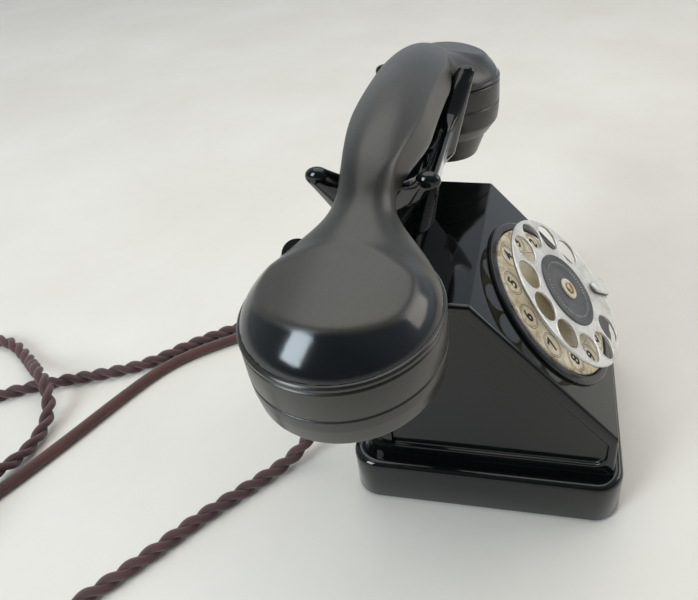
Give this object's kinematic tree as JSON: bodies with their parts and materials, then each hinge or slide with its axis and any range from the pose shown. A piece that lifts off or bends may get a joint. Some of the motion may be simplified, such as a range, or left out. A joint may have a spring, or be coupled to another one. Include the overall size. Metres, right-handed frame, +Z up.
{
  "type": "corded rotary desk telephone",
  "caption": "Corded desk telephone with a moulded wedge case, rotary dial, four-horned cradle, arched handset, ringer and two textile cords.",
  "frame": {"origin": "on the table, at the middle of the telephone's box without its cords", "axes": "+Z up, -Y the front with the dial, +X the user's right and along the handset"},
  "size_m": [0.2937, 0.4533, 0.197],
  "materials": {
    "case_bakelite": "high-gloss black bakelite",
    "handset_bakelite": "worn semi-gloss dark bakelite",
    "steel": "plain zinc-plated steel",
    "wheel_metal": "matte silvered metal",
    "brass": "turned brass",
    "enamel": "aged cream enamel with black numbers",
    "disc_grey": "dark grey lacquer with light tick marks",
    "dial_black": "black lacquered metal",
    "rubber": "black rubber",
    "gong_metal": "nickelled bell steel",
    "coil_wire": "varnished winding with tape",
    "magnet": "red lacquered magnet steel",
    "laminate": "brown laminate",
    "line_textile": "dark red-brown round braid",
    "handset_textile": "dark red-brown twisted textile strands"
  },
  "bodies": {
    "root": {"case_shell": "case_bakelite", "base_plate": "steel", "base_screws": "steel", "feet_front": "rubber", "feet_back": "rubber", "dial_case": "dial_black", "number_plate": "enamel", "dial_frame_plate": "steel", "dial_back_plate": "brass", "dial_pillars": "brass", "dial_main_spring": "steel", "governor_drum": "brass", "impulse_contacts": "laminate", "finger_stop": "wheel_metal", "cradle_bushes": "brass", "hook_bracket": "steel", "hook_spring": "steel", "hook_contacts": "laminate", "ringer_frame": "steel", "gong_left": "gong_metal", "gong_right": "gong_metal", "gong_posts": "steel", "gong_screws": "brass", "ringer_coil_left": "coil_wire", "ringer_coil_right": "coil_wire", "ringer_magnet": "magnet", "induction_coil": "coil_wire", "capacitor": "steel", "terminal_strip": "laminate", "terminal_screws": "brass", "cord_clamp": "laminate", "line_cord_gland": "case_bakelite", "handset_cord_gland": "case_bakelite", "line_cord": "line_textile", "line_cord_coil": "line_textile", "line_cord_tail": "line_textile", "plug_body": "case_bakelite", "plug_pins": "brass", "handset_cord": "handset_textile"},
    "dial": {"finger_wheel": "wheel_metal", "centre_disc": "disc_grey", "centre_screw": "brass", "dial_shaft": "steel", "main_gear": "brass"},
    "impulse_train": {"impulse_pinion": "steel", "impulse_wheel": "brass", "impulse_cam": "laminate"},
    "governor": {"governor_spindle": "steel", "governor_weights": "brass"},
    "hammer": {"ringer_hammer": "steel"},
    "hook_lever": {"hook_lever": "steel"},
    "cradle": {"cradle_yoke": "case_bakelite", "hook_plunger": "steel", "cradle_guide_pins": "steel"},
    "handset": {"handset_shell": "handset_bakelite", "mouthpiece_cap": "handset_bakelite", "earpiece_cap": "handset_bakelite", "transmitter_capsule": "wheel_metal", "receiver_capsule": "wheel_metal", "handset_gland": "case_bakelite"}
  },
  "joints": [
    {"name": "dial_turn", "type": "hinge", "parent": "root", "child": "dial", "pos_m": [0, -0.02905, 0.0809], "axis": [0, -0.7359, 0.6771], "range_deg": [-297, 0], "stiffness_Nm_per_rad": 0.008, "springref_deg": 34.38},
    {"name": "impulse_turn", "type": "hinge", "parent": "root", "child": "impulse_train", "pos_m": [-0.02255, -0.03461, 0.07486], "axis": [0, -0.7359, 0.6771], "range_deg": [0, 891]},
    {"name": "governor_turn", "type": "hinge", "parent": "root", "child": "governor", "pos_m": [-0.0087, -0.04002, 0.06897], "axis": [0, -0.7359, 0.6771], "range_deg": [-2673, 0]},
    {"name": "cradle_lift", "type": "slide", "parent": "root", "child": "cradle", "axis": [0, 0, 1], "range_m": [0, 0.004], "stiffness_N_per_m": 260, "springref_m": 0.0095, "deforming": ["hook_spring"]},
    {"name": "hook_lever_turn", "type": "hinge", "parent": "root", "child": "hook_lever", "pos_m": [0, 0.018, 0.0824], "axis": [1, 0, 0], "range_deg": [0, 10.5]},
    {"name": "handset_lift", "type": "slide", "parent": "root", "child": "handset", "axis": [0, 0, 1], "range_m": [0, 0.07]},
    {"name": "hammer_swing", "type": "hinge", "parent": "root", "child": "hammer", "pos_m": [0, 0.033, 0.061], "axis": [0, 1, 0], "range_deg": [-6.5, 6.5], "stiffness_Nm_per_rad": 0.002}
  ],
  "couplings": [
    {"joint": "impulse_turn", "follows": "dial_turn", "ratio": -3},
    {"joint": "governor_turn", "follows": "dial_turn", "ratio": 9},
    {"joint": "cradle_lift", "follows": "handset_lift", "ratio": 0.057},
    {"joint": "hook_lever_turn", "follows": "handset_lift", "rad_per_m": 2.5}
  ]
}
